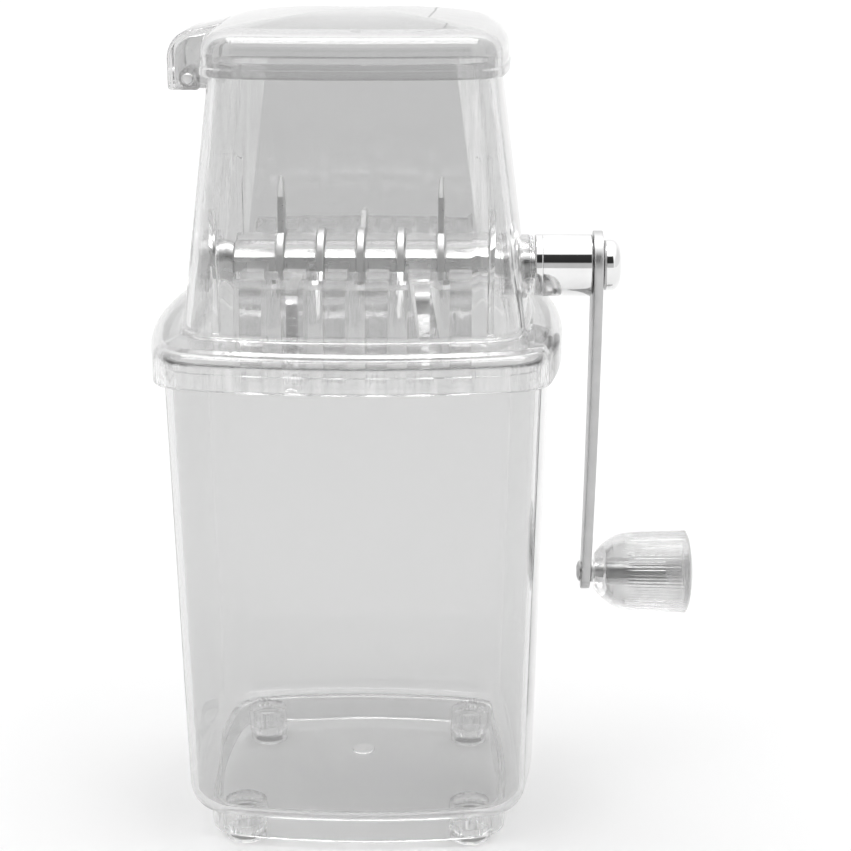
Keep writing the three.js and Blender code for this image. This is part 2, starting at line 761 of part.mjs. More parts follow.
function rotorPieces() {
  const blades = BLADE_TURNS.map((turn, number) => {
    const mesh = piece(`blade_${number + 1}`, blade(turn), STEEL);
    mesh.position.x = bladeX(number);
    return mesh;
  });
  const spacers = Array.from({ length: BLADE_COUNT + 1 }, (_, number) =>
    piece(`spacer_${number + 1}`, tube(SPACER_RADIUS, SPACER_BORE, spacerSpan(number)), CLEAR));
  return [piece("drive_shaft", driveShaft(), STEEL), ...blades, ...spacers];
}

function handleGroup() {
  const group = new THREE.Group();
  group.add(piece("handle_knob", knob(), CLEAR));
  group.add(piece("handle_end_cap", knobCap(), CLEAR));
  group.position.z = -ARM_LENGTH;
  return group;
}

function crankGroup() {
  const group = new THREE.Group();
  const axle = piece("handle_axle", handleAxle(), STEEL);
  const collar = piece("handle_collar", tube(COLLAR_RADIUS, AXLE_HOLE, COLLAR_X, 20), STEEL);
  axle.position.z = -ARM_LENGTH;
  collar.position.z = -ARM_LENGTH;
  group.add(...rotorPieces());
  group.add(piece("crank_sleeve", crankSleeve(), CHROME));
  group.add(piece("crank_arm", crankArm(), SATIN));
  group.add(piece("cap_nut", capNut(), CHROME));
  group.add(axle, collar);
  group.add(handleGroup());
  group.position.z = SHAFT_Z;
  return group;
}

function housingGroup() {
  const group = new THREE.Group();
  group.add(piece("crusher_housing", crusherHousing(), CLEAR));
  group.add(piece("front_comb", comb(-1, COMB_FRONT_TOP), CLEAR));
  group.add(piece("rear_comb", comb(1, COMB_REAR_TOP), CLEAR));
  group.add(piece("left_bushing", atShaft(leftBushing()), CLEAR));
  group.add(piece("right_bushing", atShaft(rightBushing()), CLEAR));
  group.add(piece("hinge_pin", hingeRod(HINGE_PIN_RADIUS, HOOD_HALF_LENGTH), STEEL));
  group.add(crankGroup());
  group.add(piece("lid", lid(), CLEAR));
  return group;
}

// The origin is the middle of the underside of the object's box.
const group = new THREE.Group();
group.add(containerGroup(), housingGroup());
const box = new THREE.Box3().setFromObject(group);
group.position.set(-(box.min.x + box.max.x) / 2, -(box.min.y + box.max.y) / 2, -box.min.z);

export default group;
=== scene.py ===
"""Looks for the clear hand-cranked ice crusher. Sizes are in millimetres, measured from the middle of
the ice container, and settle() turns each finished mesh into the frame's metres."""

import math

import bmesh
import bpy
import numpy as np
from mathutils import Matrix, Vector


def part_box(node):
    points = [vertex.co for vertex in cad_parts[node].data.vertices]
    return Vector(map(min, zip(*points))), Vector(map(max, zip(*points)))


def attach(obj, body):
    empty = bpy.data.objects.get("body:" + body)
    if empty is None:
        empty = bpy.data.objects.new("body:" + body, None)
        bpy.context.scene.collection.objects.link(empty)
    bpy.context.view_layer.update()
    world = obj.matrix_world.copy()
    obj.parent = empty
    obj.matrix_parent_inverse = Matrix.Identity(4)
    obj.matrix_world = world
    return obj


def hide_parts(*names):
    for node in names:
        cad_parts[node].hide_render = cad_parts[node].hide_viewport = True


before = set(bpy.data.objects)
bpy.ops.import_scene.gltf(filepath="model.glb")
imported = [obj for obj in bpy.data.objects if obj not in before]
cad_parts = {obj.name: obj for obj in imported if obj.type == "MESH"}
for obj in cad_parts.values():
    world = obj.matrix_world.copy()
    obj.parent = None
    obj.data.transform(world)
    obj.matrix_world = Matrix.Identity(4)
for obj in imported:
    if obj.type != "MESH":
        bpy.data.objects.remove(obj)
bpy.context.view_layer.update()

MM = 0.001
PAST = 1  # How far a cutting body runs past a face.
container_low, container_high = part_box("ice_container")
CENTRE_X = (container_low.x + container_high.x) / 2

# Plan outline of every shell: four bowed sides joined by round corners.
SIDE_RADIUS = 205
SIDE_STEPS = 24
CORNER_STEPS = 24
TURN_STEPS = 72
SMOOTH_ANGLE = math.radians(34)

# Shells. A size is (half-width in X, half-width in Y, corner radius) at a height.
CONTAINER = ((30, (55.0, 52.0, 14)), (140, (58.0, 54.8, 14)))
CONTAINER_TOP = 155.2
CONTAINER_WALL = 2.2
CONTAINER_INNER_CORNER = 13
FLOOR_UNDERSIDE = 11
FLOOR_TOP = 13.4
FLOOR_EDGE = (7, 8)
RIM_OUT = 0.6
RIM_HEIGHT = 2.6
PLINTH = ((3.3, (47.9, 45.3, 12)), (12, (48.5, 45.9, 12)))
PLINTH_BOTTOM = 3.3
PLINTH_WALL = 2
GATE_RADIUS = 3.6
GATE_HEIGHT = 0.3
FOOT_X = 34.7
FOOT_Y = 34.1
FOOT_PLACES = {"front_left": (-FOOT_X, -FOOT_Y), "front_right": (FOOT_X, -FOOT_Y),
               "rear_left": (-FOOT_X, FOOT_Y), "rear_right": (FOOT_X, FOOT_Y)}
FOOT_RADIUS = 6.25
FOOT_HEIGHT = 2.9
FOOT_GROOVE = ((0, 3.2, 0.2), (0.5, 3.6, 0.2), (0.5, 4.4, 0.2), (0, 4.8, 0.2))
PLUG_RADIUS = 4.6
PLUG_TOP = 5.4
PLUG_GAP = 0.3
BOSS_RADIUS = 6.5
BOSS_RIBS = 24
BOSS_RIB_DEPTH = 0.6

SKIRT = (61.7, 58.6, 12)
SKIRT_BOTTOM = 148.3
SKIRT_WALL = 2.2
SHOULDER_EDGE = 4
SHOULDER_Z = 159
SHOULDER_RISE = 1.2
SHOULDER_WALL = 1.9
TOWER = ((160, (52.1, 43.1, 13)), (234, (42.7, 40.4, 13)))
TOWER_TOP = 238
TOWER_WALL = 2.4
TOWER_INNER_CORNER = 11.5
BEARING_BOSS_RADIUS = 9.2
BEARING_BOSSES = ((-49.2, -43.5), (45.8, 51.6))
BEARING_SEAT_RADIUS = 7.6
BEARING_SEATS = ((-48.3, -42.5), (44.8, 52.6))
RIB_X = (38.4, 40.2)
RIB_Y = 31
RIB_TOPS = {-1: 196.5, 1: 199}

LID = (45.2, 42.8, 12)
LID_BOTTOM = 233.9
LID_LIP_TOP = 236.2
LID_LIP_STEP = 0.5
LID_WALL = 2
LID_EDGE_LOW = 240.7
LID_EDGE_HIGH = 247.2
LID_EDGE_IN = 8.5
LID_TOP = 250.35
EDGE_FULLNESS = 0.8
EDGE_STEPS = 13
DOME_STEPS = 12
DOME_APEX = 0.04
HINGE_X = -48.5
HINGE_Z = 231
PIN_RADIUS = 1.5
PIN_BORE = 1.8
LUG_RADIUS = 3
LUG_END_X = -42
LUG_HALF_LENGTH = 10.4
HOOD_HALF_LENGTH = 13
HOOD_WALL = 2
HOOD_OUTER_X = -54.5
HOOD_ROOT_X = -38
HOOD_BOTTOM = 227.7
HOOD_TOP = 245.2
HOOD_ROOT_TOP = 247.1
HOOD_ROUND = 8.5

SHAFT_Z = 174
BLADE_PITCH = 12
BLADE_MIDDLE = 0.8
BLADE_HALF = 1.1
BLADE_RING = 10.4
BLADE_TURNS = (90, -30, 150, -30, 90)
BLADE_BORE = 4.35
# A prong's rows from its root to its point: height, rear y, front y and share of the blade's thickness.
PRONG_ROWS = ((7, 4.6, -4.2, 0.9), (12.5, 4.9, -3.6, 0.85), (16, 4.2, -3.2, 0.85),
              (20, 3.1, -2.7, 0.85), (23, 2.2, -0.7, 0.7), (25.5, 1.5, 1.0, 0.4))
PRONG_CHAMFER = 0.25
# Heights on a prong whose edges get darker steel, painted shade.
PRONG_SHADE_ZONE = (11, 20)
SPACER_RADIUS = 8.8
SPACER_BORE = 4.4
SPACER_ENDS = (-36.9, 45)
SPACER_GAP = 0.3
JOURNAL = (-47.6, -37.2)
JOURNAL_RADIUS = 6
HEXAGON = (-38.2, 46)
HEXAGON_RADIUS = 4
NECK_X = 45
STUD_RADIUS = 3
SHAFT_END_X = 77
SHAFT_BORE = 4.3
LEFT_BUSHING = (-48, -43.5)
LEFT_BUSHING_BORE = 6.3
BUSHING_RADIUS = 7.25
# Profile points are (x, radius, rounding).
RIGHT_BUSHING = ((45.8, SHAFT_BORE, 0.3), (45.8, BUSHING_RADIUS, 0.3), (51.9, BUSHING_RADIUS, 0),
                 (51.9, 8.8, 0.25), (52.7, 8.8, 0.25), (52.7, SHAFT_BORE, 0.3))
COMB_TEETH = 6
COMB_EDGE = 0.28
COMB_HALF_X = 34
COMB_TOOTH_HALF = 3.2
COMB_TIP_Y = 13.6
COMB_FOOT_Y = 30
COMB_WALL = 1.5
COMB_TIP_HEIGHT = 7
COMB_PLATE = 3
COMB_PANEL = 2
COMB_BOTTOM = 146.5
COMB_TOPS = {-1: 177.3, 1: 180}
COMB_INSET = TOWER_WALL + 0.4
COMB_PLATE_Y = 27.5
PAST_WALL_Y = 45

ARM_X = (70.7, 73.5)
ARM_LENGTH = 98.5
ARM_SET = -1.4
ARM_TOP_RADIUS = 10.4
ARM_END_RADIUS = 5.6
ARM_CAP_STEPS = 17
ARM_SIDE_STEPS = 41
ARM_EDGE = 0.45
ARM_EDGE_MIDDLE = (0.13, 0.3)
SLEEVE = ((53, SHAFT_BORE, 0), (53, 9.0, 0.3), (53.5, 9.4, 0.3), (55.2, 9.4, 0.05), (55.35, 9.28, 0.05),
          (55.5, 9.4, 0.05), (70.0, 9.4, 0.3), (70.4, 9.0, 0.2), (70.4, SHAFT_BORE, 0))
NUT_X = 73.8
NUT_RADIUS = 7.75
NUT_DOME_X = 76
NUT_DOME = (3, 3.75)
NUT_TOP_RADIUS = 4
NUT_END_X = 79.2
NUT_BORE = (3.3, 77.3)
AXLE_RADIUS = 2.4
AXLE_END_X = 96
AXLE_HEAD = ((67.9, 0, 0), (67.9, 1.7, 0.4), (68.4, 3.0, 0.4), (69.0, 3.4, 0.15))
AXLE_BORE = 2.7
COLLAR = (72.4, 73.1)
COLLAR_RADIUS = 3.6
KNOB_X = (73.4, 104.3)
KNOB_RADIUS = 13
KNOB_CORE_RADIUS = 4.4
KNOB_CORE_DEPTH = 3.4
KNOB_RIM_DEPTH = 2.2
KNOB_FLUTES = 72
KNOB_FLUTE_DEPTH = 0.14
KNOB_FLUTED_FROM = 9.5
KNOB_FLUTED_RADIUS = 11.2
# The knob's outside and the hollow inside it, as (distance from the neck, radius) and a rounding.
KNOB_BELL = ((0, 5.5), (0.9, 6.8), (1.8, 7.8), (2.8, 8.8), (3.9, 9.6), (5.2, 10.5), (6.7, 11.3), (8.3, 11.8),
             (10, 12.1), (12.2, 12.3), (14.5, 12.4), (18, 12.55), (22, 12.7), (26, 12.85), (28.2, 12.93))
KNOB_HOLLOW = ((14, 10.5, 1), (9.6, 9.9, 1), (6.3, 8.4, 1), (4.2, 6.4, 0.8), (3.6, KNOB_CORE_RADIUS, 0.4))
KNOB_MOUTH = (1.2, 10.9)
KNOB_CAP_RADIUS = 10.6
KNOB_CAP_DEPTH = 3.1
KNOB_CAP_DOME = 1.25


# Meshes.

def new_object(name, vertices, faces):
    mesh = bpy.data.meshes.new(name)
    mesh.from_pydata([tuple(v) for v in vertices], [], [tuple(f) for f in faces])
    obj = bpy.data.objects.new(name, mesh)
    bpy.context.scene.collection.objects.link(obj)
    return cleaned(obj)


def cleaned(obj, distance=1e-4):
    """Merges coincident corners and points every face outwards."""
    mesh = bmesh.new()
    mesh.from_mesh(obj.data)
    bmesh.ops.remove_doubles(mesh, verts=mesh.verts, dist=distance)
    bmesh.ops.dissolve_degenerate(mesh, edges=mesh.edges, dist=distance)
    bmesh.ops.recalc_face_normals(mesh, faces=mesh.faces)
    mesh.to_mesh(obj.data)
    mesh.free()
    return obj


def applied(obj):
    """Bakes the object's modifiers into its mesh."""
    graph = bpy.context.evaluated_depsgraph_get()
    baked = bpy.data.meshes.new_from_object(obj.evaluated_get(graph))
    obj.modifiers.clear()
    old = obj.data
    obj.data = baked
    bpy.data.meshes.remove(old)
    return obj


def boolean(obj, others, operation):
    for other in others:
        modifier = obj.modifiers.new("boolean", "BOOLEAN")
        modifier.object = other
        modifier.operation = operation
        modifier.solver = "EXACT"
        applied(obj)
        bpy.data.objects.remove(other)
    return cleaned(obj)


def join(obj, *others):
    return boolean(obj, others, "UNION")


def cut(obj, *others):
    return boolean(obj, others, "DIFFERENCE")


def bevelled(obj, width, segments=3, angle=35):
    modifier = obj.modifiers.new("bevel", "BEVEL")
    modifier.width = width
    modifier.segments = segments
    modifier.limit_method = "ANGLE"
    modifier.angle_limit = math.radians(angle)
    modifier.use_clamp_overlap = True
    return cleaned(applied(obj))


def moved(obj, offset=(0, 0, 0), turn=0, axis="X"):
    obj.data.transform(Matrix.Translation(offset) @ Matrix.Rotation(math.radians(turn), 4, axis))
    return obj


def on_shaft(obj, turn=0):
    return moved(obj, (0, 0, SHAFT_Z), turn)


def on_knob_axis(obj):
    return moved(obj, (0, 0, SHAFT_Z - ARM_LENGTH))


def skin(rings, closed=False, capped=True):
    """Faces that join rings with equal numbers of corners. Capped rings get a flat face at each end."""
    count = len(rings[0])
    levels = len(rings) if closed else len(rings) - 1
    faces = []
    for level in range(levels):
        a, b = level * count, (level + 1) % len(rings) * count
        faces += [(a + k, a + (k + 1) % count, b + (k + 1) % count, b + k) for k in range(count)]
    if capped:
        faces.append(range(count))
        faces.append(range((len(rings) - 1) * count, len(rings) * count))
    return faces


# Shells: rings of one plan outline, joined along a profile.

def arc(centre, radius, start, end, steps):
    angles = np.linspace(start, end, steps, endpoint=False)
    return np.stack([centre[0] + radius * np.cos(angles), centre[1] + radius * np.sin(angles)], 1)


def outline(x, y, corner):
    side = SIDE_RADIUS
    apart = math.hypot(side - x, side - y)
    reach = math.sqrt((side - corner) ** 2 - (apart / 2) ** 2) / apart
    cx = (x - side) / 2 + (side - y) * reach
    cy = (y - side) / 2 + (side - x) * reach
    start = math.atan2(cy, cx + side - x)
    end = math.atan2(cy + side - y, cx)
    half = math.pi
    return np.concatenate([
        arc((x - side, 0), side, -start, start, SIDE_STEPS),
        arc((cx, cy), corner, start, end, CORNER_STEPS),
        arc((0, y - side), side, end, half - end, SIDE_STEPS),
        arc((-cx, cy), corner, half - end, half - start, CORNER_STEPS),
        arc((side - x, 0), side, half - start, half + start, SIDE_STEPS),
        arc((-cx, -cy), corner, half + start, half + end, CORNER_STEPS),
        arc((0, side - y), side, half + end, 2 * half - end, SIDE_STEPS),
        arc((cx, -cy), corner, 2 * half - end, 2 * half - start, CORNER_STEPS),
    ])


def at_height(wall, z, inset=0):
    """A profile station (x, y, corner, z) on a tapering wall, inset from its outside."""
    (z0, low), (z1, high) = wall
    share = (z - z0) / (z1 - z0)
    x, y, corner = (a + (b - a) * share - inset for a, b in zip(low, high))
    return (x, y, corner, z)


def cornered(station, corner):
    x, y, _, z = station
    return (x, y, corner, z)


def on_box(size, z, inset=0):
    x, y, corner = size
    return (x - inset, y - inset, corner - inset, z)


def rounded(stations, closed=False, steps=5):
    """Rounds each (station, radius) of a profile with a circular arc."""
    points = [np.array(p, float) for p, _ in stations]
    radii = [r for _, r in stations]
    count = len(points)
    path = []
    for i, (corner, radius) in enumerate(zip(points, radii)):
        if radius == 0 or (not closed and i in (0, count - 1)):
            path.append(corner)
            continue
        back, ahead = points[i - 1] - corner, points[(i + 1) % count] - corner
        flat_back, flat_ahead = back[[0, -1]], ahead[[0, -1]]
        reach_back, reach_ahead = np.linalg.norm(flat_back), np.linalg.norm(flat_ahead)
        cosine = flat_back @ flat_ahead / (reach_back * reach_ahead)
        opening = math.acos(max(-1, min(1, cosine)))
        set_back = min(radius / math.tan(opening / 2), 0.48 * reach_back, 0.48 * reach_ahead)
        first = corner + back * (set_back / reach_back)
        last = corner + ahead * (set_back / reach_ahead)
        weight = math.sin(opening / 2)
        for t in np.linspace(0, 1, steps + 1):
            a, b, c = (1 - t) ** 2, 2 * weight * t * (1 - t), t ** 2
            path.append((a * first + b * corner + c * last) / (a + b + c))
    return path


def shell(name, path, closed):
    """A solid through the stations of a path: closed on itself, or capped flat at both ends."""
    rings = [np.column_stack([outline(*p[:3]), np.full(4 * (SIDE_STEPS + CORNER_STEPS), p[3])])
             for p in path]
    return new_object(name, np.concatenate(rings), skin(rings, closed, capped=not closed))


def quarter(steps, start=0.0):
    """Pairs (out, up), each from 0 to 1, along a quarter round. It begins at the flat end."""
    angles = np.linspace(start, math.pi / 2, steps + 1)
    return [(1 - math.sin(a), 1 - math.cos(a)) for a in angles]


# Turned pieces. A profile point is (distance along the axis, radius, rounding).

def turned(name, profile, axis="X", closed=False, segments=TURN_STEPS, shape=None, steps=4):
    path = rounded([((along, radius), r) for along, radius, r in profile], closed, steps)
    angles = np.linspace(0, 2 * math.pi, segments, endpoint=False)
    rings = []
    for along, radius in path:
        radii = np.full(segments, radius) if shape is None else shape(along, radius, angles)
        rings.append(np.stack([np.full(segments, along), radii * np.cos(angles),
                               radii * np.sin(angles)], 1))
    order = {"X": [0, 1, 2], "Y": [2, 0, 1], "Z": [1, 2, 0]}[axis]
    return new_object(name, np.concatenate(rings)[:, order], skin(rings, closed, capped=False))


def rod(name, radius, span, axis="X", rounding=0.0, segments=TURN_STEPS):
    start, end = span
    profile = [(start, 0, 0), (start, radius, rounding), (end, radius, rounding), (end, 0, 0)]
    return turned(name, profile, axis, segments=segments)


def tube(name, outer, inner, span, rounding=0.3, axis="X"):
    start, end = span
    return turned(name, [(start, inner, rounding), (start, outer, rounding),
                         (end, outer, rounding), (end, inner, rounding)], axis, closed=True)


def prism(name, points, span, axis):
    """A flat outline carried along X, where points are (y, z), or along Y, where they are (x, z)."""
    count = len(points)
    lift = {"X": lambda p, s: (s, p[0], p[1]), "Y": lambda p, s: (p[0], s, p[1])}[axis]
    vertices = [lift(p, s) for s in span for p in points]
    faces = [range(count), range(count, 2 * count)]
    faces += [(k, (k + 1) % count, count + (k + 1) % count, count + k) for k in range(count)]
    return new_object(name, vertices, faces)


def block(name, x, y, z):
    return prism(name, [(y[0], z[0]), (y[1], z[0]), (y[1], z[1]), (y[0], z[1])], x, "X")


# Materials. Noise scales are features in a metre.

HAZE_SCALE = 90
WAVE_SCALE = 38
STREAK_SCALE = 900
# The scale of the painted pale streaks: painted light lines in the plastic.
PALE_STREAK_SCALE = 420
TARNISH_SCALE = 160
PLASTIC_IOR = 1.5
SHADOW_TINT = 0.91


def material(name):
    made = bpy.data.materials.new(name)
    made.use_nodes = True
    nodes = made.node_tree.nodes
    return made, nodes, made.node_tree.links, nodes["Principled BSDF"]


def noise(nodes, links, scale, detail=3, stretch=(1, 1, 1)):
    place = nodes.new("ShaderNodeTexCoord")
    mapping = nodes.new("ShaderNodeMapping")
    mapping.inputs["Scale"].default_value = stretch
    texture = nodes.new("ShaderNodeTexNoise")
    texture.inputs["Scale"].default_value = scale
    texture.inputs["Detail"].default_value = detail
    links.new(place.outputs["Object"], mapping.inputs["Vector"])
    links.new(mapping.outputs["Vector"], texture.inputs["Vector"])
    return texture.outputs["Fac"]


def between(nodes, links, value, low, high):
    """A noise value spread from low to high."""
    spread = nodes.new("ShaderNodeMapRange")
    spread.inputs["From Min"].default_value = 0.3
    spread.inputs["From Max"].default_value = 0.7
    spread.inputs["To Min"].default_value = low
    spread.inputs["To Max"].default_value = high
    links.new(value, spread.inputs["Value"])
    return spread.outputs["Result"]


def bump(nodes, links, shader, layers):
    """Stacks (height, strength, distance) layers onto the shader's normal."""
    below = None
    for height, strength, distance in layers:
        node = nodes.new("ShaderNodeBump")
        node.inputs["Strength"].default_value = strength
        node.inputs["Distance"].default_value = distance
        links.new(height, node.inputs["Height"])
        if below:
            links.new(below, node.inputs["Normal"])
        below = node.outputs["Normal"]
    links.new(below, shader.inputs["Normal"])


def clear_plastic(name, painted_tone, roughness, wave, streak=0.00002):
    """Moulded clear plastic: faint moulding waves and fine streaks in its surface, a little haze, and light
    let through in its shadow. Its grey tone is painted shade for the darker surroundings seen through it,
    and a pair of tones paints upright pale streaks, painted light lines."""
    made, nodes, links, shader = material(name)
    if isinstance(painted_tone, tuple):
        pale_streaks = noise(nodes, links, PALE_STREAK_SCALE, 4, (1, 1, 0.06))
        links.new(between(nodes, links, pale_streaks, *painted_tone), shader.inputs["Base Color"])
    else:
        shader.inputs["Base Color"].default_value = (painted_tone, painted_tone, painted_tone, 1)
    shader.inputs["Transmission Weight"].default_value = 1
    shader.inputs["IOR"].default_value = PLASTIC_IOR
    haze = noise(nodes, links, HAZE_SCALE)
    links.new(between(nodes, links, haze, *roughness), shader.inputs["Roughness"])
    bump(nodes, links, shader, [
        (noise(nodes, links, WAVE_SCALE, 2, (1, 1, 0.45)), 0.5, wave),
        (noise(nodes, links, STREAK_SCALE, 2, (1, 1, 0.12)), 0.12, streak),
    ])
    output = nodes["Material Output"]
    light_path = nodes.new("ShaderNodeLightPath")
    clear = nodes.new("ShaderNodeBsdfTransparent")
    clear.inputs["Color"].default_value = (SHADOW_TINT, SHADOW_TINT, SHADOW_TINT, 1)
    mix = nodes.new("ShaderNodeMixShader")
    links.new(light_path.outputs["Is Shadow Ray"], mix.inputs["Fac"])
    links.new(shader.outputs["BSDF"], mix.inputs[1])
    links.new(clear.outputs["BSDF"], mix.inputs[2])
    links.new(mix.outputs["Shader"], output.inputs["Surface"])
    return made


def metal(name, tone, roughness, grain, grain_scale, stretch):
    """Bare or plated metal, with slightly darker patches and a grain that varies its gloss."""
    made, nodes, links, shader = material(name)
    shader.inputs["Metallic"].default_value = 1
    patches = noise(nodes, links, TARNISH_SCALE)
    links.new(between(nodes, links, patches, 0.9 * tone, tone), shader.inputs["Base Color"])
    streaks = noise(nodes, links, grain_scale, 4, stretch)
    links.new(between(nodes, links, streaks, *roughness), shader.inputs["Roughness"])
    bump(nodes, links, shader, [(streaks, 0.6, grain)])
    return made


# Painted shade: the plastic is clear, and each piece's grey tone, set piece by piece, stands in for the
# darker surroundings seen through it. The pairs of tones paint lighter, streaked regions as painted light.
CONTAINER_CLEAR = clear_plastic("container_clear", 0.785, (0.008, 0.04), 0.00012)
HOUSING_CLEAR = clear_plastic("housing_clear", 0.7, (0.006, 0.04), 0.00012)
RIM_CLEAR = clear_plastic("rim_clear", (0.82, 0.98), (0.02, 0.06), 0.00012, 0.0016)
CORNER_CLEAR = clear_plastic("corner_clear", (0.7, 0.92), (0.01, 0.05), 0.00012, 0.0004)
LID_CLEAR = clear_plastic("lid_clear", 0.71, (0.006, 0.04), 0.00012)
COMB_CLEAR = clear_plastic("comb_clear", (0.9, 1), (0.08, 0.15), 0.0001, 0.0012)
SPACER_CLEAR = clear_plastic("spacer_clear", 0.98, (0.02, 0.06), 0.00006)
KNOB_CLEAR = clear_plastic("knob_clear", 0.76, (0.08, 0.14), 0.00001)
FOOT = clear_plastic("clear_foot", 1.0, (0.04, 0.1), 0.00005)
STEEL = metal("ground_steel", 0.76, (0.4, 0.52), 0.000012, 700, (0.15, 1, 1))
DRAWN = metal("drawn_steel", 0.76, (0.24, 0.34), 0.000006, 700, (0.15, 1, 1))
CHROME = metal("chrome_plate", 0.87, (0.03, 0.07), 0.000002, 500, (1, 1, 1))
# Darker steel for painted shade on the prongs' edges.
PRONG_SHADE_STEEL = metal("prong_shade_steel", 0.7, (0.26, 0.36), 0.00003, 1500, (1, 1, 1))
SATIN = metal("satin_nickel", 0.56, (0.3, 0.42), 0.00001, 2600, (1, 1, 0.2))


def settle(piece, node, body, finish, smooth=SMOOTH_ANGLE):
    """Puts a finished mesh in the frame, in place of its CAD node."""
    piece.data.transform(Matrix.Translation((CENTRE_X, 0, 0)) @ Matrix.Scale(MM, 4))
    piece.data.shade_smooth()
    piece.data.set_sharp_from_angle(angle=smooth)
    piece.data.materials.clear()
    piece.data.materials.append(finish)
    piece.name = node + "_fine"
    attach(piece, body)
    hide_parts(node)
    return piece


def paint(piece, lighter_copies, choose):
    """Gives faces lighter copies of the piece's material, painted light, by where their centre is, in
    millimetres: 0 keeps the piece's own.
    """
    for finish in lighter_copies:
        piece.data.materials.append(finish)
    for face in piece.data.polygons:
        x, y, z = face.center
        face.material_index = choose((x - CENTRE_X) / MM, y / MM, z / MM)


# Container and feet.

def container():
    edge_out, edge_up = FLOOR_EDGE
    lip = CONTAINER_TOP - RIM_HEIGHT
    inner_out, inner_up = edge_out - CONTAINER_WALL, edge_up - (FLOOR_TOP - FLOOR_UNDERSIDE)
    join_z = FLOOR_UNDERSIDE + 0.1
    outer_edge = [
        (at_height(CONTAINER, FLOOR_UNDERSIDE + edge_up * up, edge_out * out), 0)
        for out, up in quarter(10, 0.16)
    ]
    inner_edge = [
        (cornered(at_height(CONTAINER, FLOOR_TOP + inner_up * up, CONTAINER_WALL + inner_out * out),
                  CONTAINER_INNER_CORNER - inner_out * out), 0)
        for out, up in quarter(10)
    ]
    path = rounded([
        (at_height(PLINTH, FLOOR_UNDERSIDE, PLINTH_WALL + PAST), 0),
        (at_height(PLINTH, FLOOR_UNDERSIDE, PLINTH_WALL), 0.7),
        (at_height(PLINTH, PLINTH_BOTTOM, PLINTH_WALL), 0.5),
        (at_height(PLINTH, PLINTH_BOTTOM), 0.6),
        (at_height(PLINTH, join_z), 0.5),
        *outer_edge,
        (at_height(CONTAINER, SKIRT_BOTTOM), 0),
        (at_height(CONTAINER, lip), 0.3),
        (at_height(CONTAINER, lip + RIM_OUT, -RIM_OUT), 0.4),
        (at_height(CONTAINER, CONTAINER_TOP, -RIM_OUT), 0.8),
        (cornered(at_height(CONTAINER, CONTAINER_TOP, CONTAINER_WALL), CONTAINER_INNER_CORNER), 0.8),
        (cornered(at_height(CONTAINER, SKIRT_BOTTOM, CONTAINER_WALL), CONTAINER_INNER_CORNER), 0),
        *reversed(inner_edge),
    ])
    body = shell("container", path, closed=False)
    bosses = [boss(x, y) for x, y in FOOT_PLACES.values()]
    bore = (PLINTH_BOTTOM - PAST, PLUG_TOP + PLUG_GAP)
    bores = [moved(rod("bore", PLUG_RADIUS + PLUG_GAP, bore, "Z", segments=32), (x, y, 0))
             for x, y in FOOT_PLACES.values()]
    gate = turned("gate", [(FLOOR_TOP - PAST, 0, 0), (FLOOR_TOP - PAST, GATE_RADIUS, 0),
                           (FLOOR_TOP + GATE_HEIGHT, GATE_RADIUS, 0.25),
                           (FLOOR_TOP + GATE_HEIGHT / 2, 0, 0)], "Z", segments=48)
    piece = cut(join(body, gate, *bosses), *bores)
    settle(piece, "ice_container", "container", CONTAINER_CLEAR)
    paint(piece, (COMB_CLEAR, SPACER_CLEAR, RIM_CLEAR), container_painted_light)


def container_painted_light(x, y, z):
    """Painted light: the numbers pick lighter copies of the container's plastic, 1 on the gate mark, 2 on
    the foot bosses and 3 behind the skirt.
    """
    if z > SKIRT_BOTTOM:
        return 3
    from_foot = math.hypot(abs(x) - FOOT_X, abs(y) - FOOT_Y)
    if z < FLOOR_UNDERSIDE + 0.1 and from_foot < BOSS_RADIUS + 0.2:
        return 2
    return 1 if z > FLOOR_TOP + 0.05 and math.hypot(x, y) < GATE_RADIUS else 0


def boss(x, y):
    """A foot boss with fine upright ribs."""
    def ribbed(along, radius, angles):
        depth = BOSS_RIB_DEPTH if radius > BOSS_RADIUS / 2 else 0
        return radius - depth * (0.5 - 0.5 * np.cos(BOSS_RIBS * angles))
    obj = turned("boss", [(PLINTH_BOTTOM, 0, 0), (PLINTH_BOTTOM, BOSS_RADIUS, 0.4),
                          (FLOOR_UNDERSIDE + 0.6, BOSS_RADIUS, 0), (FLOOR_UNDERSIDE + 0.6, 0, 0)],
                 "Z", segments=BOSS_RIBS * 6, shape=ribbed)
    return moved(obj, (x, y, 0))


def feet():
    for place, (x, y) in FOOT_PLACES.items():
        profile = [(0, 0, 0), *FOOT_GROOVE, (0, FOOT_RADIUS, 0.8), (FOOT_HEIGHT, FOOT_RADIUS, 0.5),
                   (FOOT_HEIGHT, PLUG_RADIUS, 0.1), (PLUG_TOP, PLUG_RADIUS, 0.6), (PLUG_TOP, 0, 0)]
        obj = moved(turned("foot", profile, "Z", segments=48), (x, y, 0))
        settle(obj, "foot_" + place, "container", FOOT)


# Crusher housing.

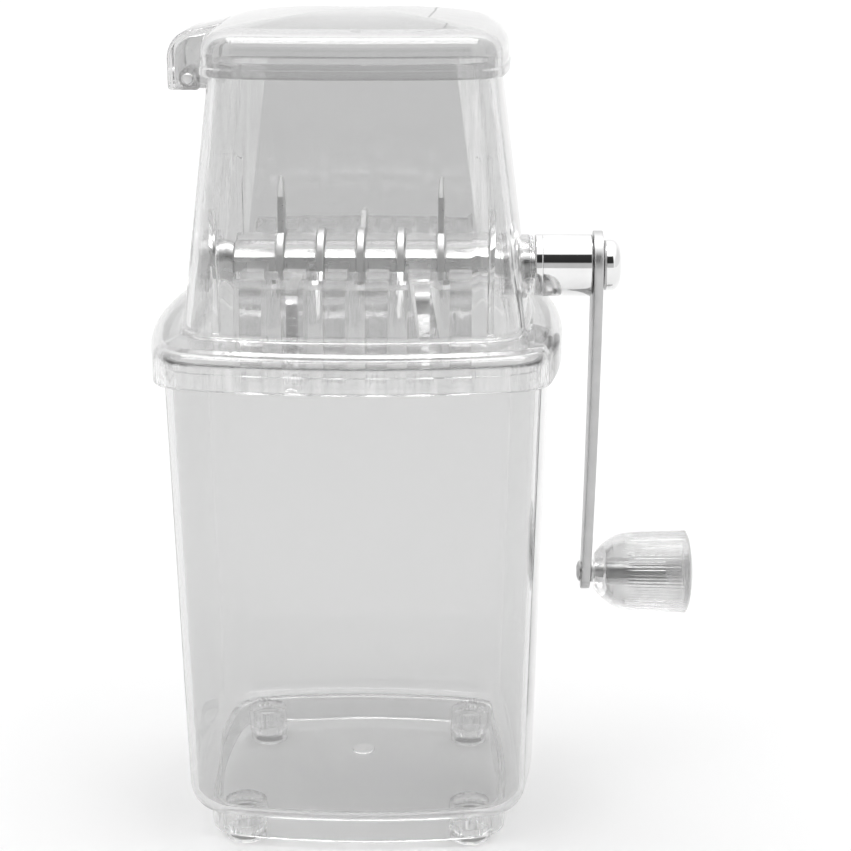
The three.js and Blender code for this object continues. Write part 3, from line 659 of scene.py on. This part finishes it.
def housing():
    rise = SHOULDER_Z + SHOULDER_RISE
    ceiling = SHOULDER_Z - SHOULDER_WALL
    inner_edge = SHOULDER_EDGE - SHOULDER_WALL
    path = rounded([
        (on_box(SKIRT, SKIRT_BOTTOM), 0.7),
        (on_box(SKIRT, SHOULDER_Z), SHOULDER_EDGE),
        (at_height(TOWER, rise), 2),
        (at_height(TOWER, TOWER_TOP), 0.9),
        (cornered(at_height(TOWER, TOWER_TOP, TOWER_WALL), TOWER_INNER_CORNER), 0.9),
        (cornered(at_height(TOWER, ceiling + SHOULDER_RISE, TOWER_WALL), TOWER_INNER_CORNER), 1.2),
        (on_box(SKIRT, ceiling, SKIRT_WALL), inner_edge),
        (on_box(SKIRT, SKIRT_BOTTOM, SKIRT_WALL), 0.7),
    ], closed=True, steps=8)
    body = shell("housing", path, closed=True)
    bosses = [on_shaft(rod("boss", BEARING_BOSS_RADIUS, span, rounding=0.5)) for span in BEARING_BOSSES]
    seats = [on_shaft(rod("seat", BEARING_SEAT_RADIUS, span)) for span in BEARING_SEATS]
    body = join(body, *bosses, hinge_lug(), *corner_ribs())
    piece = cut(body, *seats, hinge_bore(LUG_HALF_LENGTH + PAST))
    settle(piece, "crusher_housing", "housing", HOUSING_CLEAR)
    paint(piece, (RIM_CLEAR, CORNER_CLEAR), housing_painted_light)


def housing_painted_light(x, y, z):
    """Painted light: the numbers pick lighter copies of the housing's plastic, 1 on the skirt and 2, with
    pale upright streaks, on the tower's corners.
    """
    if z < SHOULDER_Z - SHOULDER_EDGE:
        return 1
    tower_x, tower_y, corner, _ = at_height(TOWER, z)
    in_corner = abs(x) > tower_x - corner and abs(y) > tower_y - corner
    return 2 if in_corner and z > SHOULDER_Z + 3 else 0


def hinge_bore(half_length):
    bore = rod("hinge_bore", PIN_BORE, (-half_length, half_length), "Y", segments=32)
    return moved(bore, (HINGE_X, 0, HINGE_Z))


def hinge_lug():
    angles = np.linspace(math.pi / 2, 1.5 * math.pi, 17)
    curl = [(HINGE_X + LUG_RADIUS * math.cos(a), HINGE_Z + LUG_RADIUS * math.sin(a)) for a in angles]
    points = [(LUG_END_X, HINGE_Z - LUG_RADIUS), (LUG_END_X, HINGE_Z + LUG_RADIUS), *curl]
    return bevelled(prism("lug", points, (-LUG_HALF_LENGTH, LUG_HALF_LENGTH), "Y"), 0.5)


def corner_ribs():
    """Upright ribs inside the tower's corners, cut to the inside of its wall."""
    ribs = []
    low = TOWER[0][0]
    for side, top in RIB_TOPS.items():
        for mirror in (-1, 1):
            x = sorted((mirror * RIB_X[0], mirror * RIB_X[1]))
            y = sorted((side * RIB_Y, side * PAST_WALL_Y))
            rib = bevelled(block("rib", x, y, (low, top)), 0.3, 2)
            path = [at_height(TOWER, z, TOWER_WALL / 2) for z in (low - PAST, top + PAST)]
            ribs.append(boolean(rib, [shell("inside", path, closed=False)], "INTERSECT"))
    return ribs


def comb(side, node):
    top = COMB_TOPS[side]
    bottom = COMB_BOTTOM

    def strip(points, half, name):
        return prism(name, [(side * y, z) for y, z in points], (-half, half), "X")

    def within(gap):
        return shell("within", [at_height(TOWER, z, COMB_INSET + gap) for z in (bottom - gap, top + gap)],
                     closed=False)

    knee = top - COMB_TIP_HEIGHT
    near = sorted((side * COMB_PLATE_Y, side * PAST_WALL_Y))
    across = (-COMB_HALF_X, COMB_HALF_X)
    body = cut(block("panel", across, near, (bottom, top)), within(COMB_PANEL))
    plate = block("plate", across, near, (top - COMB_PLATE, top))
    lean = (COMB_FOOT_Y - COMB_TIP_Y) / (knee - bottom)
    front = COMB_WALL * math.hypot(1, lean)
    outside = [(PAST_WALL_Y, top), (COMB_TIP_Y, top), (COMB_TIP_Y, knee), (COMB_FOOT_Y, bottom),
               (PAST_WALL_Y, bottom)]
    hollow = [(PAST_WALL_Y, top - COMB_PLATE), (COMB_TIP_Y + front, top - COMB_PLATE),
              (COMB_TIP_Y + front, knee), (COMB_FOOT_Y + front, bottom),
              (COMB_FOOT_Y + front, bottom - PAST), (PAST_WALL_Y, bottom - PAST)]
    teeth, hollows = [], []
    for number in range(COMB_TEETH):
        x = BLADE_MIDDLE + (number - (COMB_TEETH - 1) / 2) * BLADE_PITCH
        teeth.append(moved(strip(outside, COMB_TOOTH_HALF, "tooth"), (x, 0, 0)))
        core = moved(strip(hollow, COMB_TOOTH_HALF - COMB_WALL, "hollow"), (x, 0, 0))
        hollows.append(boolean(core, [within(COMB_PANEL)], "INTERSECT"))
    body = boolean(join(body, plate, *teeth), [within(0)], "INTERSECT")
    settle(bevelled(cut(body, *hollows), COMB_EDGE, 2), node, "housing", COMB_CLEAR)


# Lid.

def lid():
    x, y, corner = LID

    def dome(drop):
        shares = np.sin(np.linspace(math.pi / 2, DOME_APEX, DOME_STEPS)[1:])
        high = LID_EDGE_HIGH - drop
        crown = (x - LID_EDGE_IN, y - LID_EDGE_IN, corner - LID_EDGE_IN)
        return [((*(c * k for c in crown), high + (LID_TOP - LID_EDGE_HIGH) * (1 - k * k)), 0)
                for k in shares]

    def edge(drop, inset):
        """The lid's rounded edge, upright at its foot and meeting the dome at the dome's own slope."""
        low, high = LID_EDGE_LOW, LID_EDGE_HIGH - drop
        slope = 2 * (LID_TOP - LID_EDGE_HIGH) / (x - LID_EDGE_IN)
        knee = high - slope * (LID_EDGE_IN - inset)
        stations = []
        for t in np.linspace(0, 1, EDGE_STEPS):
            a, b, c = (1 - t) ** 2, 2 * EDGE_FULLNESS * t * (1 - t), t ** 2
            inwards = (inset * (a + b) + LID_EDGE_IN * c) / (a + b + c)
            z = ((low - drop * a) * a + knee * b + high * c) / (a + b + c)
            stations.append((on_box(LID, z, inwards), 0))
        return list(reversed(stations))

    path = rounded([
        *reversed(dome(0)),
        *edge(0, LID_LIP_STEP),
        (on_box(LID, LID_LIP_TOP + LID_LIP_STEP, LID_LIP_STEP), 0.3),
        (on_box(LID, LID_LIP_TOP), 0.4),
        (on_box(LID, LID_BOTTOM), 0.6),
        (on_box(LID, LID_BOTTOM, LID_WALL), 0.6),
        *reversed(edge(LID_WALL, LID_WALL)),
        *dome(LID_WALL),
    ])
    body = shell("lid", path, closed=False)
    body = join(body, bevelled(hood(0, HOOD_HALF_LENGTH, HOOD_BOTTOM, -x), 1.1, 5))
    inner = rounded([
        (on_box(LID, HOOD_BOTTOM - PAST, LID_WALL), 0),
        *reversed(edge(LID_WALL, LID_WALL)),
        *dome(LID_WALL),
    ])
    cavity = hood(HOOD_WALL, HOOD_HALF_LENGTH - HOOD_WALL, HOOD_BOTTOM - PAST, HOOD_ROOT_X)
    body = cut(body, shell("inside", inner, closed=False), bevelled(cavity, 0.6, 3),
               hinge_bore(HOOD_HALF_LENGTH + PAST))
    settle(body, "lid", "lid", LID_CLEAR)


def hood(wall, half_length, bottom, ear_x):
    round_radius = HOOD_ROUND - wall
    left = HOOD_OUTER_X + wall
    top = HOOD_TOP - wall
    rim = LID_BOTTOM + 1
    centre = (left + round_radius, top - round_radius)
    curl = [(centre[0] + round_radius * math.cos(a), centre[1] + round_radius * math.sin(a))
            for a in np.linspace(math.pi / 2, math.pi, 17)]
    points = [(ear_x, bottom), (ear_x, rim), (HOOD_ROOT_X, rim), (HOOD_ROOT_X, HOOD_ROOT_TOP - wall),
              *curl, (left, bottom)]
    if ear_x == HOOD_ROOT_X:
        points.pop(1)
    return prism("hood", points, (-half_length, half_length), "Y")


# Rotor.

def blade_x(number):
    return BLADE_MIDDLE + (number - 2) * BLADE_PITCH


def prong():
    """The pointed tooth of a blade, thinned towards its tip."""
    rings = []
    for z, rear, front, share in PRONG_ROWS:
        half = BLADE_HALF * share
        c = min(PRONG_CHAMFER, 0.4 * half, 0.3 * (rear - front))
        rings.append([(-half, front + c, z), (-half + c, front, z), (half - c, front, z),
                      (half, front + c, z), (half, rear - c, z), (half - c, rear, z),
                      (-half + c, rear, z), (-half, rear - c, z)])
    return new_object("prong", np.concatenate(rings), skin(rings))


def blade(number, turn):
    ring = rod("ring", BLADE_RING, (-BLADE_HALF, BLADE_HALF), rounding=0.3)
    reach = BLADE_HALF + PAST
    hole = moved(rod("hex_hole", BLADE_BORE, (-reach, reach), segments=6), turn=turn - 60)
    obj = cut(join(ring, prong()), hole)
    # Painted shade: the prong's edges in this height band get the darker steel.
    low, high = PRONG_SHADE_ZONE
    shaded_faces = [face.index for face in obj.data.polygons
               if low < face.center.z < high and abs(face.normal.x) < 0.9]
    moved(obj, (blade_x(number), 0, SHAFT_Z), 90 - turn)
    settle(obj, f"blade_{number + 1}", "crank", STEEL, math.radians(25))
    obj.data.materials.append(PRONG_SHADE_STEEL)
    for index in shaded_faces:
        obj.data.polygons[index].material_index = 1


def spacer(number):
    clear = BLADE_HALF + SPACER_GAP
    start = SPACER_ENDS[0] if number == 0 else blade_x(number - 1) + clear
    end = SPACER_ENDS[1] if number == len(BLADE_TURNS) else blade_x(number) - clear
    obj = on_shaft(tube("spacer", SPACER_RADIUS, SPACER_BORE, (start, end), 0.5))
    settle(obj, f"spacer_{number + 1}", "crank", SPACER_CLEAR)


def drive_shaft():
    journal = rod("journal", JOURNAL_RADIUS, JOURNAL, rounding=0.5)
    hexagon = moved(rod("hexagon", HEXAGON_RADIUS, HEXAGON, segments=6), turn=30)
    shoulder = ARM_X[1]
    nose = turned("nose", [(NECK_X, 0, 0), (NECK_X, HEXAGON_RADIUS, 0), (shoulder, HEXAGON_RADIUS, 0.3),
                           (shoulder, STUD_RADIUS, 0), (SHAFT_END_X, STUD_RADIUS, 0.5), (SHAFT_END_X, 0, 0)])
    obj = on_shaft(join(journal, hexagon, nose))
    settle(obj, "drive_shaft", "crank", DRAWN, math.radians(25))


def bearings():
    left = on_shaft(tube("left", BUSHING_RADIUS, LEFT_BUSHING_BORE, LEFT_BUSHING, 0.25))
    settle(left, "left_bushing", "housing", SPACER_CLEAR)
    right = on_shaft(turned("right", RIGHT_BUSHING, closed=True))
    settle(right, "right_bushing", "housing", SPACER_CLEAR)
    pin = rod("pin", PIN_RADIUS, (-HOOD_HALF_LENGTH, HOOD_HALF_LENGTH), "Y", 0.35, 40)
    settle(moved(pin, (HINGE_X, 0, HINGE_Z)), "hinge_pin", "housing", STEEL)


# Crank and knob.

def crank_sleeve():
    obj = on_shaft(turned("sleeve", SLEEVE, closed=True, segments=128))
    settle(obj, "crank_sleeve", "crank", CHROME)


def crank_arm():
    """A flat bar with round ends and softened edges, set inwards towards its lower end."""
    lean = math.asin((ARM_TOP_RADIUS - ARM_END_RADIUS) / ARM_LENGTH)
    top = ARM_TOP_RADIUS * math.sin(lean)
    bottom = -ARM_LENGTH + ARM_END_RADIUS * math.sin(lean)
    cap = np.linspace(0, math.pi / 2 - lean, ARM_CAP_STEPS)
    heights = [ARM_TOP_RADIUS * math.cos(a) for a in cap]
    halves = [ARM_TOP_RADIUS * math.sin(a) for a in cap]
    for share in np.linspace(0, 1, ARM_SIDE_STEPS)[1:-1]:
        heights.append(top + (bottom - top) * share)
        halves.append((ARM_TOP_RADIUS + (ARM_END_RADIUS - ARM_TOP_RADIUS) * share) * math.cos(lean))
    for a in np.linspace(math.pi / 2 - lean, math.pi, ARM_CAP_STEPS):
        heights.append(-ARM_LENGTH + ARM_END_RADIUS * math.cos(a))
        halves.append(ARM_END_RADIUS * math.sin(a))
    rings = [arm_ring(z, half) for z, half in zip(heights, halves)]
    reach = (ARM_X[0] + ARM_SET - PAST, ARM_X[1] + PAST)
    shaft_hole = rod("hole", SHAFT_BORE, reach, segments=48)
    axle_hole = moved(rod("hole", AXLE_BORE, reach, segments=40), (0, 0, -ARM_LENGTH))
    bar = cut(new_object("arm", np.concatenate(rings), skin(rings)), shaft_hole, axle_hole)
    settle(on_shaft(bar), "crank_arm", "crank", SATIN)


def arm_ring(z, half):
    """The arm's section at a height, with rounded edges."""
    left, right = (x + ARM_SET * (max(0, -z) / ARM_LENGTH) ** 2 for x in ARM_X)
    inwards, share = ARM_EDGE_MIDDLE
    c = min(ARM_EDGE, half * 0.5)
    front = [(left, -half + c), (left + inwards, -half + share * c), (left + ARM_EDGE, -half),
             (right - ARM_EDGE, -half), (right - inwards, -half + share * c), (right, -half + c)]
    rear = [(x, -y) for x, y in reversed(front)]
    return [(x, y, z) for x, y in front + rear]


def cap_nut():
    length, fall = NUT_DOME
    dome = [(NUT_DOME_X + length * math.sin(a), NUT_TOP_RADIUS + fall * math.cos(a), 0)
            for a in np.linspace(0, 1.4, 14)]
    profile = [(NUT_X, 0, 0), (NUT_X, NUT_RADIUS, 1.3), *dome, (NUT_END_X, 0, 0)]
    bore, depth = NUT_BORE
    nut = turned("nut", profile, segments=96, steps=10)
    obj = cut(nut, rod("bore", bore, (NUT_X - PAST, depth), segments=40))
    settle(on_shaft(obj), "cap_nut", "crank", CHROME)


def handle_axle():
    head_end = AXLE_HEAD[-1][0]
    profile = [*AXLE_HEAD, (head_end, AXLE_RADIUS, 0), (AXLE_END_X, AXLE_RADIUS, 0.5), (AXLE_END_X, 0, 0)]
    obj = on_knob_axis(turned("axle", profile, segments=48))
    settle(obj, "handle_axle", "crank", STEEL)
    obj = on_knob_axis(tube("collar", COLLAR_RADIUS, AXLE_BORE, COLLAR, 0.15))
    settle(obj, "handle_collar", "crank", STEEL)


def knob():
    left, right = KNOB_X
    rim = right - KNOB_RIM_DEPTH

    def fluted(along, radius, angles):
        if radius < KNOB_FLUTED_RADIUS:
            return np.full(len(angles), radius)
        fade = min(1, max(0, (along - left - KNOB_FLUTED_FROM) / 1.5), max(0, (rim - along) / 0.6))
        return radius - KNOB_FLUTE_DEPTH * fade * (0.5 + 0.5 * np.cos(KNOB_FLUTES * angles))

    core_end = right - KNOB_CORE_DEPTH
    mouth_depth, mouth = KNOB_MOUTH
    profile = [(left, AXLE_BORE, 0.3), *((left + x, r, 0.5) for x, r in KNOB_BELL),
               (rim, KNOB_RADIUS - 0.02, 0.9), (right - mouth_depth, mouth, 0.2),
               (core_end, mouth - 0.05, 0.2), *((left + x, r, rounding) for x, r, rounding in KNOB_HOLLOW),
               (core_end, KNOB_CORE_RADIUS, 0.4), (core_end, AXLE_BORE, 0.3)]
    obj = on_knob_axis(turned("knob", profile, closed=True, segments=KNOB_FLUTES * 6, shape=fluted))
    settle(obj, "handle_knob", "handle", KNOB_CLEAR)
    dome = [(right - KNOB_CAP_DOME * (r / KNOB_CAP_RADIUS) ** 2, r, 0)
            for r in np.linspace(KNOB_CAP_RADIUS, 0, 10)]
    inner = right - KNOB_CAP_DEPTH
    cap = turned("cap", [(inner, 0, 0), (inner, KNOB_CAP_RADIUS, 0.3), *dome], segments=96)
    settle(on_knob_axis(cap), "handle_end_cap", "handle", KNOB_CLEAR)


# Surroundings.

# The world's smooth steps: where each starts and ends, and its values before and after. Heights are
# sines of the angle up, and the opening's width is a slope to the side of straight ahead.
SKY = (0.35, 0.86, 1.04, 1.52)
SIDES = (0.6, 0.85, 1, 0.84)
OPENING_WIDTH = (0.45, 0.8, 1, 0)
OPENING_BOTTOM = (-0.05, 0.02, 0, 1)
OPENING_TOP = (0.74, 0.8, 1, 0)
OPENING_DEPTH = (0.27, 0.36, 0.45, 0.97)
FLOOR_REACH = 9.0
FLOOR_TONE = 0.9
SENSOR = 36
LENS = 84.1
CAMERA_PLACE = (0.03256, -0.59197, 0.29653)
CAMERA_DOWN = 0.285
CAMERA_TURN = 0.021


def floor():
    signs = ((-1, -1), (1, -1), (1, 1), (-1, 1))
    mesh = bpy.data.meshes.new("floor")
    mesh.from_pydata([(x * FLOOR_REACH, y * FLOOR_REACH, 0) for x, y in signs], [], [(0, 1, 2, 3)])
    obj = bpy.data.objects.new("floor", mesh)
    bpy.context.scene.collection.objects.link(obj)
    made, nodes, links, shader = material("floor")
    shader.inputs["Base Color"].default_value = (FLOOR_TONE, FLOOR_TONE, FLOOR_TONE, 1)
    shader.inputs["Roughness"].default_value = 1
    shader.inputs["Specular IOR Level"].default_value = 0
    mesh.materials.append(made)


def studio():
    """Pale walls under a bright ceiling, with a dark opening in front from 21 to 48 degrees up."""
    world = bpy.data.worlds.new("studio")
    bpy.context.scene.world = world
    world.use_nodes = True
    nodes, links = world.node_tree.nodes, world.node_tree.links
    place = nodes.new("ShaderNodeTexCoord")
    split = nodes.new("ShaderNodeSeparateXYZ")
    links.new(place.outputs["Generated"], split.inputs["Vector"])

    def step(value, start, end, low, high):
        node = nodes.new("ShaderNodeMapRange")
        node.interpolation_type = "SMOOTHSTEP"
        for socket, number in zip(("From Min", "From Max", "To Min", "To Max"), (start, end, low, high)):
            node.inputs[socket].default_value = number
        links.new(value, node.inputs["Value"])
        return node.outputs["Result"]

    def math_node(operation, a, b=0):
        node = nodes.new("ShaderNodeMath")
        node.operation = operation
        for socket, value in zip(node.inputs, (a, b)):
            if isinstance(value, (int, float)):
                socket.default_value = value
            else:
                links.new(value, socket)
        return node.outputs["Value"]

    x, y, z = (split.outputs[axis] for axis in "XYZ")
    front = math_node("MAXIMUM", math_node("MULTIPLY", y, -1), 0.001)
    ahead = step(math_node("DIVIDE", math_node("ABSOLUTE", x), front), *OPENING_WIDTH)
    patch = math_node("MULTIPLY", step(z, *OPENING_BOTTOM), step(z, *OPENING_TOP))
    dark = math_node("MULTIPLY", math_node("MULTIPLY", patch, step(z, *OPENING_DEPTH)), ahead)
    white = math_node("MULTIPLY", step(z, *SKY), step(math_node("ABSOLUTE", x), *SIDES))
    background = nodes["Background"]
    background.inputs["Color"].default_value = (1, 1, 1, 1)
    links.new(math_node("MULTIPLY", white, math_node("SUBTRACT", 1, dark)),
              background.inputs["Strength"])


def softbox(name, location, target, size, power):
    """A light that only shows in gloss and through the plastic."""
    data = bpy.data.lights.new(name, "AREA")
    data.shape = "RECTANGLE"
    data.size, data.size_y = size
    data.energy = power
    light = bpy.data.objects.new(name, data)
    light.location = location
    aim = Vector(target) - Vector(location)
    light.rotation_euler = aim.to_track_quat("-Z", "Y").to_euler()
    light.visible_diffuse = False
    bpy.context.scene.collection.objects.link(light)


def camera():
    data = bpy.data.cameras.new("camera")
    data.sensor_width = SENSOR
    data.lens = LENS
    obj = bpy.data.objects.new("camera", data)
    obj.location = (CENTRE_X + CAMERA_PLACE[0], *CAMERA_PLACE[1:])
    obj.rotation_euler = (math.pi / 2 - CAMERA_DOWN, 0, CAMERA_TURN)
    bpy.context.scene.collection.objects.link(obj)
    bpy.context.scene.camera = obj


container()
feet()
housing()
comb(-1, "front_comb")
comb(1, "rear_comb")
lid()
bearings()
drive_shaft()
for number, turn in enumerate(BLADE_TURNS):
    blade(number, turn)
for number in range(len(BLADE_TURNS) + 1):
    spacer(number)
crank_sleeve()
crank_arm()
cap_nut()
handle_axle()
knob()
floor()
studio()
softbox("overhead", (0, 0.1, 1.5), (0, 0, 0.2), (1.2, 0.4), 12)
camera()

cycles = bpy.context.scene.cycles
cycles.max_bounces = 64
cycles.transmission_bounces = 64
cycles.glossy_bounces = 64
cycles.transparent_max_bounces = 40
bpy.context.scene.view_settings.view_transform = "Standard"
